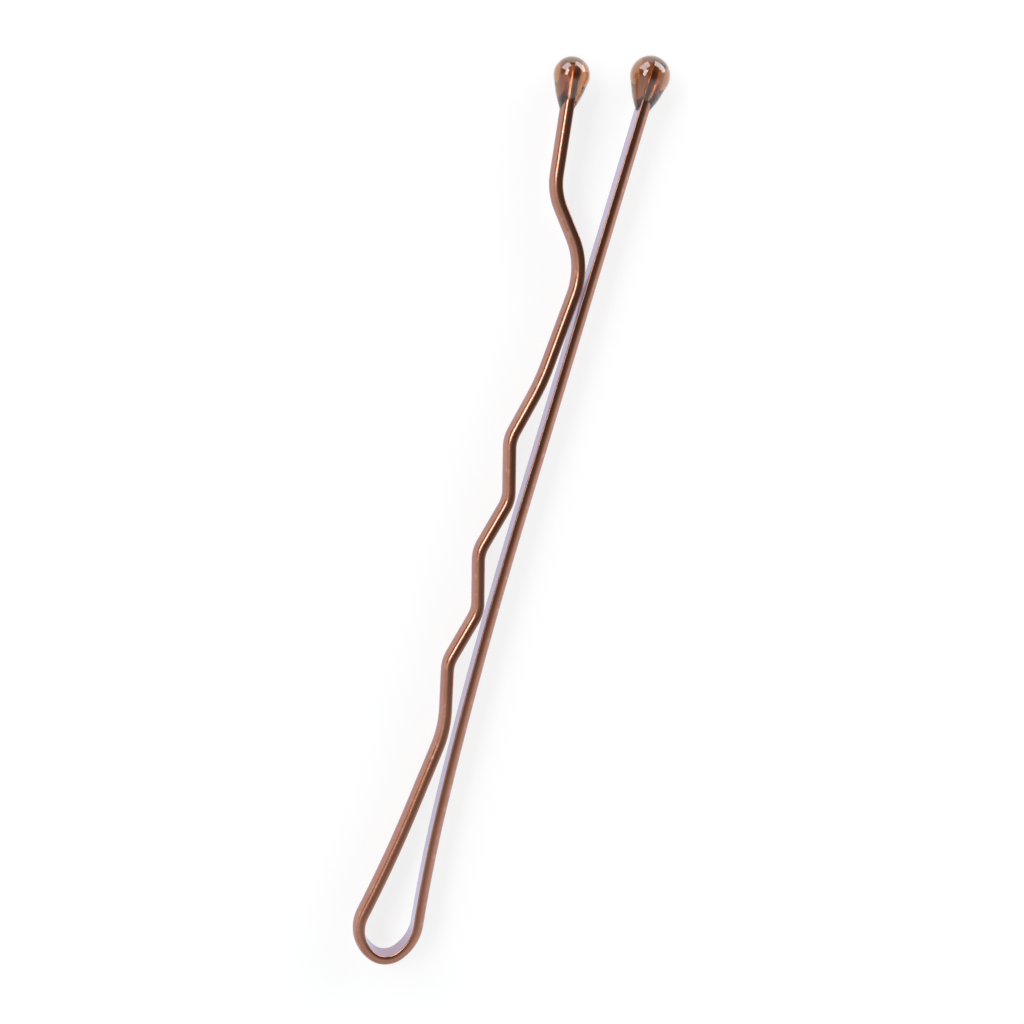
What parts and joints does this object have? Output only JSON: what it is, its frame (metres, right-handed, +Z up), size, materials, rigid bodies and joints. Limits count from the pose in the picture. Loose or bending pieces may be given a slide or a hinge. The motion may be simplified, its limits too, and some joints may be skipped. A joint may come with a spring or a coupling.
{
  "type": "bobby pin",
  "caption": "Sprung hair pin of bent flat wire: a straight leg and a crimped leg joined by a rounded bow, with a cast resin drop on each tip.",
  "frame": {"origin": "centre of the pin's bounding box in plan, at the level of its lowest point, with the pin lying flat", "axes": "+X along the pin from the bow to the tips, +Y from the straight leg to the crimped leg, +Z up, across the wire's width"},
  "size_m": [0.06, 0.0076, 0.0024],
  "materials": {
    "lacquered_wire": "glossy brown-copper lacquer over rolled spring steel",
    "amber_resin": "clear amber resin, cast as a drop, very glossy"
  },
  "bodies": {
    "bow": {"bow": "lacquered_wire"},
    "straight_leg": {"straight_leg": "lacquered_wire", "straight_tip": "amber_resin"},
    "crimped_leg": {"crimped_leg": "lacquered_wire", "crimped_tip": "amber_resin"}
  },
  "joints": [
    {"name": "straight_leg_flex", "type": "hinge", "parent": "bow", "child": "straight_leg", "pos_m": [-0.018, -0.00295, 0.00122], "axis": [0, 0, -1], "range_deg": [0, 10], "stiffness_Nm_per_rad": 0.202},
    {"name": "crimped_leg_flex", "type": "hinge", "parent": "bow", "child": "crimped_leg", "pos_m": [-0.018, -0.00067, 0.00122], "axis": [0, 0, 1], "range_deg": [0, 10], "stiffness_Nm_per_rad": 0.202}
  ]
}
